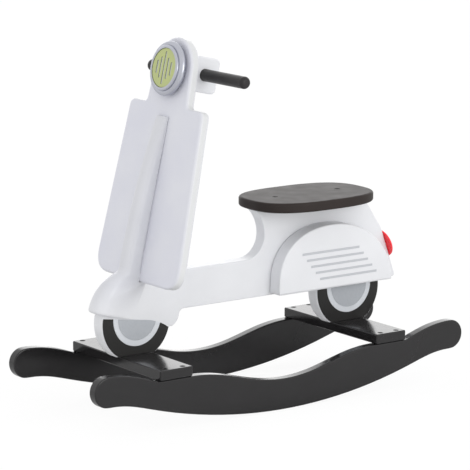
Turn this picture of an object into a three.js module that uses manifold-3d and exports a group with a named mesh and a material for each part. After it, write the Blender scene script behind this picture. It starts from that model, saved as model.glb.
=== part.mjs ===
// Rocking scooter for a small child: a painted board body in the shape of a motor scooter,
// standing on two rockers that are joined by a cross board under each wheel.
// Millimetres, +Z up, the front of the scooter towards -X and the rider's left towards -Y.
// The origin lies on the floor, under the middle of the rockers.
import * as THREE from "three";
import { mergeVertices } from "three/addons/utils/BufferGeometryUtils.js";
import Module from "manifold-3d";

const wasm = await Module();
wasm.setup();

// Fits and edges
const fitGap = 0.3; // left between pieces that touch
const overrun = 2; // how far a cut runs past the face it opens
const edgeRound = 1.6; // on every sawn board edge
const filmThick = 0.5; // of the printed and foiled parts

// Rockers
const rockerLength = 800;
const rockerSpan = 279; // over the outer faces of the two rockers
const rockerThick = 19;
const rockRadius = 1000; // of the curve that rolls on the floor
const rollReach = 285; // from mid length to the end of that curve
const tipRadius = 26.5;
const tipLift = 57; // from the floor to the underside of a tip
const waistHeight = 55.5; // top of a rocker at mid length
const saddleHeight = 87.7; // top of a rocker under the cross boards

// Cross boards
const crossOffset = 234; // from mid length to the middle of a cross board
const crossWidth = 67;
const crossThick = 18;
const crossScrewPitch = 36;

// Wheels, cut in one with the centre board
const frontWheel = -232.3; // where the middle of each wheel stands along the board
const rearWheel = 232.2;
const wheelRadius = 71.5;
const wheelFlat = 12.6; // height of the segment cut off where a wheel stands on its cross board
const rimSetback = 1.8; // of the middle of a printed rim, behind the middle of its wheel
const rimRise = 5.9; // of the same above it
const rimRadius = 49.7;
const hubRadius = 39.7;
const footScrewPitch = 24;

// Centre board
const boardThick = 26;
const beamBottom = 175;
const beamTop = 245;
const hollowRadius = 42; // of the hollow in front of the seat post, at its foot
const hollowTopRadius = 62; // of the same hollow under the seat
const hollowFront = 1.5; // where that hollow leaves the top of the beam
const deckEnd = -119; // where the top of the beam starts to rise behind the shield
const deckRise = 47;
const columnDepth = 30;
const tailReach = 343.5; // rear end of the board at the height of the beam's underside
const tailLean = THREE.MathUtils.degToRad(19.7);
const tailStraight = 94; // height of the lower, steeper part of the tail
const tailTopReach = 268; // rear end of the board under the seat
const tailBendRadius = 50;
const tailCorner = 6;
const skirtDrop = 29; // from the beam's underside to the lowest point of the front skirt
const skirtReach = 20.8; // that the skirt stands behind the wheel
const skirtShares = { toe: 0.33, flank: 0.06, bulge: 0.11, heel: 0.5 }; // of the skirt's drop

// Seat
const seatHeight = 350;
const seatThick = 18;
const seatCentre = 146;
const seatLength = 252;
const seatWidth = 170;
const seatEdgeRound = 4;
const seatSquareness = 2.75; // exponent of the outline, 2 is an ellipse
const seatScrewPitch = 140;

// Rear cowls
const cowlThick = 31;
const cowlBottom = 178.5;
const cowlTop = 296;
const cowlFront = 55;
const cowlRear = 311;
const cowlCrown = 175; // where the cowl is highest
const cowlSpringing = 17; // from the bottom to where the front edge starts to curve
const cowlRound = 3;
const cowlFrontSquareness = 2.25;
const cowlRearSquareness = 2;
const dowelRadius = 4;
const dowelLength = 54;
const dowelPitch = 120;
const dowelHeight = 232;

// Stripes on the cowls
const stripeCount = 5;
const stripeLength = 129;
const stripeWidth = 4;
const stripeDrop = 12.2; // from one stripe to the next
const stripeShift = 10; // rearwards from one stripe to the next
const stripeHeight = 247.7; // of the top stripe
const stripeStart = 105; // front end of the top stripe

// Leg shield with its round head, on a plane that leans back
const shieldFoot = -282; // where the plane of the front face meets the floor
const shieldLean = THREE.MathUtils.degToRad(12.87);
const shieldThick = 18;
const shieldRound = 5;
const apronBottom = 241; // distances up the slope from the floor
const shoulderHeight = 551;
const headHeight = 613;
const apronHalf = 128.5;
const shoulderHalf = 110;
const neckHalf = 61;
const headRadius = 56.5;
const apronRound = 38;
const shoulderRound = 13;
const neckRound = 11;

// Steering block and handlebar
const blockThick = 44;
const blockHeight = 63;
const blockDepth = 66;
const blockRound = 11;
const barRadius = 10.8;
const barLength = 290;
const barSetback = 55; // from the front face of the shield to the axis of the bar
const barEndRound = 7;

// Headlight
const bezelRadius = 48;
const bezelHeight = 19;
const bezelFoot = 39; // radius of the foot on the shield
const bezelRoll = 6; // radius of the rolled edge
const bezelRollHeight = 9.6; // of the middle of the roll above the shield
const bezelRim = 40; // radius of the rim round the lens
const bezelSoft = 2.5; // rounding of the rim
const lensRadius = 34.3;
const lensThick = 9;
const lensSetback = 1.2; // of the lens behind the rim
const grilleBars = 5;
const grillePitch = 10.2;
const grilleWidth = 3.4;
const grilleDepth = 1.2;
const grilleLengthShares = [0.34, 0.54, 0.84, 0.54, 0.34]; // of the lens diameter

// Front fender with the nose ridge that runs up the shield
const ridgeGap = 34; // from the headlight down to the top of the ridge
const ridgeHalf = 16;
const ridgeTopHeight = 7.5;
const ridgeFootHeight = 31;
const ridgeSwell = 2.4; // exponent of the growth from one to the other
const fenderHalf = 22;
const fenderTopRadius = 87; // from the middle of the rim to the crest, just below the shield
const fenderRadius = 89; // the same at the lower end
const fenderSpreadShare = 0.6; // of the way round the wheel, over which the fender widens
const fenderTip = 6; // rounding of the crest at its lower end
const noseSquareness = 2.4;
const noseShare = 0.8; // most that the rounded nose takes of the depth of a section
const flankHalf = 13.8; // half width where the flank runs out on the centre board
const flankSetback = 17; // from the front of the shield to the end of the flank below it
const flankHoldShare = 0.75; // of the flank's depth at full width, just below the shield
const fenderStart = THREE.MathUtils.degToRad(112); // angles round the wheel centre
const fenderEnd = THREE.MathUtils.degToRad(169);

// Tail lamp
const lampRadius = 27;
const lampDepth = 9;
const lampDrop = 33.2; // down the tail from its bend
const lampLip = 2;
const spigotRadius = 5;
const spigotLength = 18;

// Wood screws
const screwHeadRadius = 4.8;
const screwHeadHeight = 2.8;
const screwRadius = 2.1;
const screwPoint = 5;
const screwSlotWidth = 1.1;
const screwSlotDepth = 1.4;
const crossScrewLength = 50;
const seatScrewLength = 55;
const footScrewLength = 45;
const shieldScrewLength = 42;
const headScrewPitch = 40;
const columnScrewPitch = 170;
const columnScrewHeight = 400; // middle of the pair, up the slope

// Heights and places that follow from the sizes above
const crossBottom = saddleHeight + fitGap;
const crossTop = crossBottom + crossThick;
const wheelFoot = crossTop + fitGap;
const wheelHeight = wheelFoot - wheelFlat + wheelRadius;
const rimHeight = wheelHeight + rimRise;
const frontRim = frontWheel + rimSetback;
const seatBottom = seatHeight - seatThick;
const postTop = seatBottom - fitGap;
const columnFront = shieldThick + fitGap;
const columnRear = columnFront + columnDepth;
const blockBottom = headHeight - blockHeight / 2;
const columnTop = blockBottom - fitGap;
const ridgeTop = headHeight - bezelRadius - ridgeGap; // up the slope

const white = { color: 0xe1e2e5, roughness: 0.35 };
const black = { color: 0x2b2a29, roughness: 0.4 };
const steel = { color: 0x232323, roughness: 0.45, metalness: 0.6 };

// Outlines are lists of THREE.Vector2
function point(x, y) {
  return new THREE.Vector2(x, y);
}

function arc(x, y, radius, from, to, steps) {
  return Array.from({ length: steps + 1 }, (_, i) => {
    const angle = from + ((to - from) * i) / steps;
    return point(x + radius * Math.cos(angle), y + radius * Math.sin(angle));
  });
}

function bend(start, control, end, steps) {
  return new THREE.QuadraticBezierCurve(start, control, end).getPoints(steps);
}

function sweep(start, leave, arrive, end, steps) {
  return new THREE.CubicBezierCurve(start, leave, arrive, end).getPoints(steps);
}

// A quarter of a superellipse, from the end of its half length to the end of its half height
function quarter(x, y, halfLength, halfHeight, exponent, steps) {
  return Array.from({ length: steps + 1 }, (_, i) => {
    const angle = (Math.PI / 2) * (i / steps);
    const across = Math.max(Math.cos(angle), 0) ** (2 / exponent);
    const up = Math.sin(angle) ** (2 / exponent);
    return point(x + halfLength * across, y + halfHeight * up);
  });
}

// The corners of a polygon, each rounded by its own radius as far as its sides allow
function rounded(corners, steps) {
  return corners.flatMap(({ at, radius }, i) => {
    if (!radius) return [at];
    const before = corners[(i + corners.length - 1) % corners.length].at;
    const after = corners[(i + 1) % corners.length].at;
    const back = before.clone().sub(at);
    const ahead = after.clone().sub(at);
    const half = Math.acos(back.clone().normalize().dot(ahead.clone().normalize())) / 2;
    const reach = Math.min(radius / Math.tan(half), back.length() / 2, ahead.length() / 2);
    const start = at.clone().addScaledVector(back.normalize(), reach);
    const end = at.clone().addScaledVector(ahead.normalize(), reach);
    return bend(start, at, end, steps);
  });
}

function mirrored(points) {
  return points.map((p) => point(-p.x, p.y)).reverse();
}

// Drops points that lie on top of the one before
function clean(points) {
  const least = fitGap / 10;
  return points.filter((p, i) => {
    const before = points[(i + points.length - 1) % points.length];
    return p.distanceTo(before) > least;
  });
}

// The outline moved outwards by a distance, for a cut that leaves a gap
function grown(points, distance) {
  const list = clean(points);
  const turn = THREE.ShapeUtils.area(list) > 0 ? 1 : -1;
  return list.map((p, i) => {
    const before = list[(i + list.length - 1) % list.length];
    const after = list[(i + 1) % list.length];
    const along = after.clone().sub(before).normalize();
    return point(p.x + turn * along.y * distance, p.y - turn * along.x * distance);
  });
}

// A board of that outline in the XZ plane, centred on y = 0, with rounded edges
function board(points, thick, round = 0, roundSteps = 1) {
  const shape = new THREE.Shape(clean(points));
  const geometry = new THREE.ExtrudeGeometry(shape, {
    depth: thick - 2 * round,
    bevelEnabled: round > 0,
    bevelThickness: round,
    bevelSize: round,
    bevelOffset: -round,
    bevelSegments: roundSteps,
  });
  geometry.translate(0, 0, round - thick / 2);
  return geometry.rotateX(Math.PI / 2);
}

// A turned piece whose axis is Z, from pairs of radius and height
function turned(pairs, steps) {
  const profile = pairs.map(([radius, height]) => point(radius, height));
  return new THREE.LatheGeometry(profile, steps).rotateX(Math.PI / 2);
}

function block(x, y, z) {
  return new THREE.BoxGeometry(x, y, z);
}

// Joining and cutting
function solid(geometry) {
  const bare = geometry.clone();
  bare.deleteAttribute("normal");
  bare.deleteAttribute("uv");
  const merged = mergeVertices(bare);
  const triVerts = new Uint32Array(merged.index.array);
  const vertProperties = new Float32Array(merged.attributes.position.array);
  return new wasm.Manifold(new wasm.Mesh({ numProp: 3, vertProperties, triVerts }));
}

function surface(body) {
  const { numProp, numVert, vertProperties, triVerts } = body.getMesh();
  const places = new Float32Array(numVert * 3);
  for (let i = 0; i < numVert; i += 1) {
    places.set(vertProperties.subarray(i * numProp, i * numProp + 3), i * 3);
  }
  const geometry = new THREE.BufferGeometry();
  geometry.setAttribute("position", new THREE.BufferAttribute(places, 3));
  geometry.setIndex(new THREE.BufferAttribute(triVerts, 1));
  const faceted = geometry.toNonIndexed();
  faceted.computeVertexNormals();
  return faceted;
}

function cut(geometry, cutters) {
  return surface(cutters.reduce((left, c) => left.subtract(solid(c)), solid(geometry)));
}

const scooter = new THREE.Group();

function add(name, geometry, look, parent = scooter) {
  const mesh = new THREE.Mesh(geometry, new THREE.MeshStandardMaterial(look));
  mesh.name = name;
  parent.add(mesh);
  return mesh;
}

// The frame of the shield: X runs through the board to the rear, Z up the slope
const leanFrame = new THREE.Matrix4()
  .makeRotationY(shieldLean)
  .setPosition(shieldFoot, 0, 0);
const leaning = new THREE.Group();
leaning.applyMatrix4(leanFrame);
scooter.add(leaning);

function onLean(through, up) {
  const p = new THREE.Vector3(through, 0, up).applyMatrix4(leanFrame);
  return point(p.x, p.z);
}

// Wood screws, head up, with the top of the head at z = 0
function screwBody(length, gap = 0) {
  const profile = [
    [0, -length - gap],
    [screwRadius + gap, screwPoint - length - gap],
    [screwRadius + gap, -screwHeadHeight - gap],
    [screwHeadRadius + gap, -gap],
    [screwHeadRadius + gap, gap ? overrun : 0],
    [0, gap ? overrun : 0],
  ];
  return turned(gap ? profile : profile.toSpliced(3, 1), 12);
}

function screw(length) {
  const slots = [0, Math.PI / 2].map((angle) =>
    block(screwHeadRadius, screwSlotWidth, 2 * screwSlotDepth).rotateZ(angle),
  );
  return cut(screwBody(length), slots);
}

// Every screw: its name, its length, where the top of its head lies and its turn about Y
const screws = [];
const ends = { front: -crossOffset, rear: crossOffset };
const wheels = { front: frontWheel, rear: rearWheel };
const sides = { left: -1, right: 1 };
const headSink = fitGap; // the heads lie this far under the surface
for (const [end, middle] of Object.entries(ends)) {
  for (const [side, sign] of Object.entries(sides)) {
    [-1, 1].forEach((step, i) => {
      screws.push({
        name: `${end}_board_screw_${side}_${i + 1}`,
        length: crossScrewLength,
        at: new THREE.Vector3(
          middle + (step * crossScrewPitch) / 2,
          (sign * (rockerSpan - rockerThick)) / 2,
          crossTop - headSink,
        ),
        turn: 0,
      });
    });
  }
  [-1, 1].forEach((step, i) => {
    screws.push({
      name: `${end}_foot_screw_${i + 1}`,
      length: footScrewLength,
      at: new THREE.Vector3(wheels[end] + (step * footScrewPitch) / 2, 0, crossBottom + headSink),
      turn: Math.PI,
    });
  });
}
["front", "rear"].forEach((end, i) => {
  screws.push({
    name: `seat_screw_${end}`,
    length: seatScrewLength,
    at: new THREE.Vector3(seatCentre + (i - 0.5) * seatScrewPitch, 0, seatHeight - headSink),
    turn: 0,
  });
});
["lower", "upper"].forEach((end, i) => {
  const pairs = {
    column: columnScrewHeight + (i - 0.5) * columnScrewPitch,
    head: headHeight + (i - 0.5) * headScrewPitch,
  };
  for (const [pair, up] of Object.entries(pairs)) {
    screws.push({
      name: `${pair}_screw_${end}`,
      length: shieldScrewLength,
      at: new THREE.Vector3(headSink, 0, up).applyMatrix4(leanFrame),
      turn: shieldLean - Math.PI / 2,
    });
  }
});

// The holes of the screws whose names match, in the frame of the whole scooter
function screwHoles(match) {
  return screws
    .filter(({ name }) => match.test(name))
    .map(({ length, at, turn }) =>
      screwBody(length, fitGap).rotateY(turn).translate(at.x, at.y, at.z),
    );
}

function toLean(geometries) {
  const back = leanFrame.clone().invert();
  return geometries.map((g) => g.applyMatrix4(back));
}

// Rockers
const saddleEnd = crossOffset + crossWidth / 2 + fitGap;
const saddleStart = crossOffset - crossWidth / 2 - fitGap;

function rockerOutline() {
  const rollSteps = 23; // odd, so that one flat lies at mid length
  const swing = Math.asin(rollReach / rockRadius);
  const centre = rockRadius * Math.cos(swing / rollSteps);
  const roll = arc(0, centre, rockRadius, -Math.PI / 2 - swing, -Math.PI / 2 + swing, rollSteps);
  const tipCentre = rockerLength / 2 - tipRadius;
  const rollEnd = roll.at(-1);
  const run = tipCentre - rollEnd.x;
  const easeShare = 0.4;
  const saddlePull = 0.6; // of the climb, at the end of the sweep up to the saddle
  const under = sweep(
    rollEnd,
    point(rollEnd.x + run * easeShare, rollEnd.y + run * easeShare * Math.tan(swing)),
    point(tipCentre - run * easeShare, tipLift),
    point(tipCentre, tipLift),
    6,
  );
  const tip = arc(tipCentre, tipLift + tipRadius, tipRadius, -Math.PI / 2, Math.PI / 2, 14);
  const tipTop = tipLift + 2 * tipRadius;
  const shoulder = tipCentre - saddleEnd;
  const over = sweep(
    point(tipCentre, tipTop),
    point(tipCentre - shoulder * easeShare, tipTop),
    point(saddleEnd + shoulder * easeShare, saddleHeight + (tipTop - saddleHeight) * saddlePull),
    point(saddleEnd, saddleHeight),
    6,
  );
  const dip = sweep(
    point(saddleStart, saddleHeight),
    point(saddleStart * (1 - easeShare), saddleHeight),
    point(saddleStart * easeShare, waistHeight),
    point(0, waistHeight),
    9,
  );
  const half = [...under, ...tip, ...over, ...dip];
  return [...roll, ...half, ...mirrored(half)];
}

for (const [side, sign] of Object.entries(sides)) {
  const y = (sign * (rockerSpan - rockerThick)) / 2;
  const body = board(rockerOutline(), rockerThick, edgeRound).translate(0, y, 0);
  add(`rocker_${side}`, cut(body, screwHoles(new RegExp(`board_screw_${side}`))), black);
}

// Cross boards
for (const [end, middle] of Object.entries(ends)) {
  const half = crossWidth / 2;
  const corners = [
    point(middle - half, crossBottom),
    point(middle + half, crossBottom),
    point(middle + half, crossTop),
    point(middle - half, crossTop),
  ];
  const holes = screwHoles(new RegExp(`^${end}_(board|foot)_screw`));
  add(`${end}_cross_board`, cut(board(corners, rockerSpan, edgeRound), holes), black);
}

// Centre board: wheels, beam, seat post, tail and the column behind the shield
const tailFoot = point(tailReach, beamBottom);
const tailBend = point(
  tailReach - tailStraight * Math.tan(tailLean),
  beamBottom + tailStraight,
);

// The outline of a wheel from one angle to another, by way of the flat that it stands on
function wheelArc(middle, from, to) {
  const flat = Math.asin((wheelFoot - wheelHeight) / wheelRadius);
  return [
    ...arc(middle, wheelHeight, wheelRadius, from, flat, 12),
    ...arc(middle, wheelHeight, wheelRadius, -Math.PI - flat, to, 16),
  ];
}

function skirtEdge() {
  const lowest = beamBottom - skirtDrop;
  const leave = Math.asin((lowest - wheelHeight) / wheelRadius);
  const touch = point(frontWheel + wheelRadius * Math.cos(leave), lowest);
  const rear = frontWheel + wheelRadius + skirtReach;
  const toe = skirtDrop * skirtShares.toe;
  const flankTop = point(rear - skirtDrop * skirtShares.flank, beamBottom - toe);
  const heel = beamBottom - skirtDrop * skirtShares.heel;
  const flankEnd = point(rear - skirtDrop * skirtShares.bulge, heel);
  return {
    leave,
    points: [
      ...bend(point(rear + toe, beamBottom), point(rear, beamBottom), flankTop, 4),
      ...bend(flankEnd, point(rear - toe, lowest), touch, 6),
    ],
  };
}

function boardOutline() {
  const skirt = skirtEdge();
  const shoulderUp = apronBottom - fitGap;
  const shoulderLine = onLean(0, shoulderUp);
  const slope = Math.tan(shieldLean);
  // The angle at which the wheel meets the level of the shield's lower edge
  const normalHeight =
    (shoulderLine.y - wheelHeight + slope * (shoulderLine.x - frontWheel)) * Math.cos(shieldLean);
  const meet = Math.PI / 2 - shieldLean + Math.acos(Math.min(normalHeight / wheelRadius, 1));
  const rearLevel = Math.asin((beamBottom - wheelHeight) / wheelRadius);
  const hollowLevel = beamTop + hollowRadius;
  const hollowTop = hollowFront + hollowRadius - hollowTopRadius;
  const hollowSweep = Math.asin(Math.min((postTop - hollowLevel) / hollowTopRadius, 1));
  const riseUp = (beamTop + deckRise - onLean(columnRear, 0).y) / Math.cos(shieldLean);
  const riseFoot = (beamTop - onLean(columnRear, 0).y) / Math.cos(shieldLean);
  return [
    ...wheelArc(frontWheel, skirt.leave, meet - 2 * Math.PI),
    onLean(columnFront, shoulderUp),
    onLean(columnFront, columnTop),
    onLean(columnRear, columnTop),
    ...bend(onLean(columnRear, riseUp), onLean(columnRear, riseFoot), point(deckEnd, beamTop), 8),
    ...arc(hollowFront, hollowLevel, hollowRadius, -Math.PI / 2, 0, 9),
    ...arc(hollowTop, hollowLevel, hollowTopRadius, 0, hollowSweep, 5).slice(1),
    ...rounded(
      [
        { at: point(tailTopReach, postTop), radius: 0 },
        { at: tailBend, radius: tailBendRadius },
        { at: tailFoot, radius: tailCorner },
        { at: point(rearWheel, beamBottom), radius: 0 },
      ],
      5,
    ).slice(0, -1),
    ...wheelArc(rearWheel, rearLevel, -Math.PI - rearLevel),
    ...skirt.points,
  ];
}

const tailNormal = Math.PI / 2 - tailLean;
const lampAt = new THREE.Vector3(
  tailBend.x + lampDrop * Math.sin(tailLean),
  0,
  tailBend.y - lampDrop * Math.cos(tailLean),
);

function lampBody(radius, length) {
  return turned(
    [
      [0, -length],
      [radius, -length],
      [radius, fitGap],
      [0, fitGap],
    ],
    20,
  )
    .rotateY(tailNormal)
    .translate(lampAt.x, lampAt.y, lampAt.z);
}

function dowel(x, gap) {
  const half = dowelLength / 2 + gap;
  const radius = dowelRadius + gap;
  return turned([[0, -half], [radius, -half], [radius, half], [0, half]], 16)
    .rotateX(Math.PI / 2)
    .translate(x, 0, dowelHeight);
}

const dowelPlaces = [-1, 1].map((step) => cowlCrown + (step * dowelPitch) / 2);
const centreBoard = board(boardOutline(), boardThick, edgeRound);
add(
  "centre_board",
  cut(centreBoard, [
    ...screwHoles(/^(front|rear)_foot_screw|^seat_screw|^column_screw/),
    lampBody(spigotRadius + fitGap, spigotLength + fitGap),
    ...dowelPlaces.map((x) => dowel(x, fitGap)),
  ]),
  white,
);
dowelPlaces.forEach((x, i) => {
  add(`cowl_dowel_${["front", "rear"][i]}`, dowel(x, 0), { color: 0xd9c092, roughness: 0.7 });
});

// Rear cowls
function cowlOutline() {
  const springing = cowlBottom + cowlSpringing;
  const front = quarter(0, 0, cowlCrown - cowlFront, cowlTop - springing, cowlFrontSquareness, 14)
    .map((p) => point(cowlCrown - p.x, springing + p.y));
  const rear = quarter(
    cowlCrown,
    cowlBottom,
    cowlRear - cowlCrown,
    cowlTop - cowlBottom,
    cowlRearSquareness,
    14,
  ).reverse();
  const foot = rounded(
    [
      { at: point(cowlRear, cowlBottom), radius: cowlRound },
      { at: point(cowlFront, cowlBottom), radius: cowlRound },
      { at: front[0], radius: 0 },
      { at: rear.at(-2), radius: 0 },
    ],
    3,
  ).slice(0, -2);
  return [...front, ...rear.slice(1, -1), ...foot];
}

const cowlInner = boardThick / 2 + fitGap;
for (const [side, sign] of Object.entries(sides)) {
  const y = sign * (cowlInner + (cowlThick - fitGap) / 2);
  const body = board(cowlOutline(), cowlThick - fitGap, edgeRound).translate(0, y, 0);
  add(`rear_cowl_${side}`, cut(body, dowelPlaces.map((x) => dowel(x, fitGap))), white);
  for (let i = 0; i < stripeCount; i += 1) {
    const stripe = block(stripeLength, filmThick, stripeWidth).translate(
      stripeStart + i * stripeShift + stripeLength / 2,
      sign * (boardThick / 2 + cowlThick + fitGap + filmThick / 2),
      stripeHeight - i * stripeDrop,
    );
    add(`cowl_stripe_${side}_${i + 1}`, stripe, { color: 0xbec0c4, roughness: 0.4 });
  }
}

// The lower edge of the front fender, which runs on over the wheel as the edge of the skirt
const skirtLineShares = { front: [-1.75, 0.195], knee: [0.394, -0.114], tip: [1.372, -0.525] };

function byRim([across, up]) {
  return point(frontRim + across * rimRadius, rimHeight + up * rimRadius);
}

function skirtLine() {
  const [front, knee, tip] = Object.values(skirtLineShares).map(byRim);
  const slope = knee.clone().sub(front).normalize();
  const turn = tip.clone().sub(knee).length() / 2;
  return [front, ...bend(knee, knee.clone().addScaledVector(slope, turn), tip, 5)];
}

// Printed wheels on both faces of the centre board: tyre, rim and hub
function disc(x, y, radius, thick) {
  return board(arc(x, y, radius, 0, 2 * Math.PI, 48).slice(1), thick);
}

function rimDisc(middle, radius, thick) {
  return disc(middle + rimSetback, rimHeight, radius, thick);
}

function below(end) {
  const reach = wheelRadius + skirtReach;
  const low = wheelHeight - reach;
  if (end === "rear") {
    return [
      point(rearWheel - reach, low),
      point(rearWheel + reach, low),
      point(rearWheel + reach, cowlBottom - 2 * fitGap),
      point(rearWheel - reach, cowlBottom - 2 * fitGap),
    ];
  }
  const line = skirtLine().map((p) => point(p.x, p.y - 2 * fitGap));
  return [point(line[0].x, low), point(line.at(-1).x, low), ...line.reverse()];
}

// The tyre reaches out to the edge of its wheel; rim and hub have circles of their own
const wheelRings = [
  { part: "tyre", outer: 0, inner: rimRadius + fitGap, color: 0x312f2d },
  { part: "rim", outer: rimRadius, inner: hubRadius + fitGap, color: 0xd5d9dd },
  { part: "hub", outer: hubRadius, inner: 0, color: 0xa6aaaf },
];
for (const [end, middle] of Object.entries(wheels)) {
  const window = solid(board(below(end), boardThick)).subtract(
    solid(
      block(2 * wheelRadius, boardThick + overrun, 2 * wheelRadius).translate(
        middle,
        0,
        wheelFoot - wheelRadius,
      ),
    ),
  );
  for (const { part, outer, inner, color } of wheelRings) {
    const whole = outer
      ? solid(rimDisc(middle, outer, filmThick))
      : solid(disc(middle, wheelHeight, wheelRadius - edgeRound, filmThick));
    const ring = inner ? whole.subtract(solid(rimDisc(middle, inner, boardThick))) : whole;
    const film = surface(ring.intersect(window));
    for (const [side, sign] of Object.entries(sides)) {
      const y = sign * (boardThick / 2 + fitGap + filmThick / 2);
      const look = { color, roughness: 0.45 };
      add(`${end}_${part}_${side}`, film.clone().translate(0, y, 0), look);
    }
  }
}

// Leg shield
function shieldOutline() {
  const head = arc(0, headHeight, headRadius, 0, Math.PI / 2, 16);
  const half = [
    { at: point(apronHalf, apronBottom), radius: apronRound },
    { at: point(shoulderHalf, shoulderHeight), radius: shoulderRound },
    { at: point(neckHalf, shoulderHeight), radius: neckRound },
    { at: head[0], radius: 0 },
  ];
  const other = half.map(({ at, radius }) => ({ at: point(-at.x, at.y), radius })).reverse();
  const body = rounded([...half, ...other], 7);
  const top = [...head.slice(1), ...mirrored(head).slice(1, -1)];
  const seam = body.findIndex((p) => p.equals(head[0])) + 1;
  return [...body.slice(0, seam), ...top, ...body.slice(seam)];
}

const shieldBody = board(shieldOutline(), shieldThick, shieldRound, 2)
  .rotateZ(Math.PI / 2)
  .translate(shieldThick / 2, 0, 0);
add("leg_shield", cut(shieldBody, toLean(screwHoles(/^(column|head)_screw/))), white, leaning);

// Steering block and handlebar
const blockOutline = rounded(
  [
    { at: point(columnFront, blockBottom), radius: 0 },
    { at: point(columnFront + blockDepth, blockBottom), radius: blockRound },
    { at: point(columnFront + blockDepth, blockBottom + blockHeight), radius: blockRound },
    { at: point(columnFront, blockBottom + blockHeight), radius: 0 },
  ],
  6,
);

function barBody(gap) {
  const half = barLength / 2;
  const round = barEndRound;
  const radius = barRadius + gap;
  const end = arc(barRadius - round, half - round, round, 0, Math.PI / 2, 5);
  const profile = gap
    ? [[radius, -half], [radius, half]]
    : [...end.map((p) => [p.x, -p.y]).reverse(), ...end.map((p) => [p.x, p.y])];
  return turned([[0, -half], ...profile, [0, half]], 24)
    .rotateX(Math.PI / 2)
    .translate(barSetback, 0, headHeight);
}

add(
  "steering_block",
  cut(board(blockOutline, blockThick, edgeRound), [
    barBody(fitGap),
    ...toLean(screwHoles(/^head_screw/)),
  ]),
  white,
  leaning,
);
add("handlebar", barBody(0), { color: 0x2d2b2a, roughness: 0.5 }, leaning);

// Headlight: a turned bezel and a lens with a grille of upright bars
const bezelTop = bezelHeight + fitGap;
const lensFront = bezelTop - lensSetback;
const lensSeat = lensFront - lensThick;
const rollMiddle = bezelRadius - bezelRoll;
const rollStart = -Math.acos((bezelFoot - rollMiddle) / bezelRoll);
const rollEnd = Math.acos((bezelRim - rollMiddle) / bezelRoll);
const bezelSide = arc(rollMiddle, bezelRollHeight, bezelRoll, rollStart, rollEnd, 11);
const bezelLip = arc(bezelRim - bezelSoft, bezelTop - bezelSoft, bezelSoft, 0, Math.PI / 2, 3);
const bezelProfile = [
  [0, fitGap],
  [bezelFoot, fitGap],
  ...[...bezelSide, ...bezelLip].map((p) => [p.x, p.y]),
  [lensRadius + fitGap, bezelTop],
  [lensRadius + fitGap, lensSeat - fitGap],
  [0, lensSeat - fitGap],
];

function facingForward(geometry) {
  return geometry.rotateY(-Math.PI / 2).translate(0, 0, headHeight);
}

add(
  "headlight_bezel",
  facingForward(turned(bezelProfile, 44)),
  { color: 0xb9bbc2, roughness: 0.25, metalness: 0.85 },
  leaning,
);
const lensDisc = facingForward(
  turned(
    [
      [0, lensSeat],
      [lensRadius, lensSeat],
      [lensRadius, lensFront - lensSetback / 2],
      [lensRadius - lensSetback / 2, lensFront],
      [0, lensFront],
    ],
    44,
  ),
);
const grilleCuts = Array.from({ length: grilleBars }, (_, i) => {
  const length = 2 * lensRadius * grilleLengthShares[i % grilleLengthShares.length];
  return block(2 * grilleDepth, grilleWidth, length).translate(
    -lensFront,
    (i - (grilleBars - 1) / 2) * grillePitch,
    headHeight,
  );
});
add("headlight_lens", cut(lensDisc, grilleCuts), { color: 0xb4c378, roughness: 0.4 }, leaning);

// Front fender: sections along a crest line that runs down the nose ridge and round the wheel
function fenderStations() {
  const ridgeSteps = 7;
  const ridgeFoot = apronBottom + fenderHalf;
  const stations = [];
  for (let i = 0; i <= ridgeSteps; i += 1) {
    const share = i / ridgeSteps;
    const up = ridgeTop + (ridgeFoot - ridgeTop) * share;
    const swell = 1 - (1 - share) ** ridgeSwell;
    const height = THREE.MathUtils.lerp(ridgeTopHeight, ridgeFootHeight, swell);
    stations.push({
      crest: onLean(-fitGap - height, up),
      crease: onLean(-fitGap, up),
      crestHalf: ridgeHalf,
      creaseHalf: ridgeHalf - edgeRound,
      holdShare: flankHoldShare,
    });
  }
  const creaseTop = onLean(flankSetback, apronBottom);
  const [front, knee] = Object.values(skirtLineShares).map(byRim);
  const creaseFootShare = 0.72;
  const creaseFoot = front.clone().lerp(knee, creaseFootShare);
  const tipTurn = fenderTip / fenderRadius;
  const roundSteps = 8;
  const round = Array.from({ length: roundSteps + 1 }, (_, i) => ({
    angle: fenderStart + ((fenderEnd - tipTurn - fenderStart) * i) / roundSteps,
    radius: fenderTopRadius + ((fenderRadius - fenderTopRadius) * i) / roundSteps,
  }));
  const tip = arc(0, 0, 1, 0, Math.PI / 2, 3).slice(1).map(({ x, y }) => ({
    angle: fenderEnd - tipTurn * (1 - y),
    radius: fenderRadius - fenderTip * (1 - x),
  }));
  [...round, ...tip].forEach(({ angle, radius }) => {
    const share = (angle - fenderStart) / (fenderEnd - fenderStart);
    const spread = THREE.MathUtils.smoothstep(share, 0, fenderSpreadShare);
    stations.push({
      crest: arc(frontRim, rimHeight, radius, angle, angle, 1)[0],
      crease: creaseTop.clone().lerp(creaseFoot, share),
      crestHalf: THREE.MathUtils.lerp(ridgeHalf, fenderHalf, spread),
      creaseHalf: flankHalf,
      holdShare: flankHoldShare * (1 - spread),
    });
  });
  return stations;
}

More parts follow.
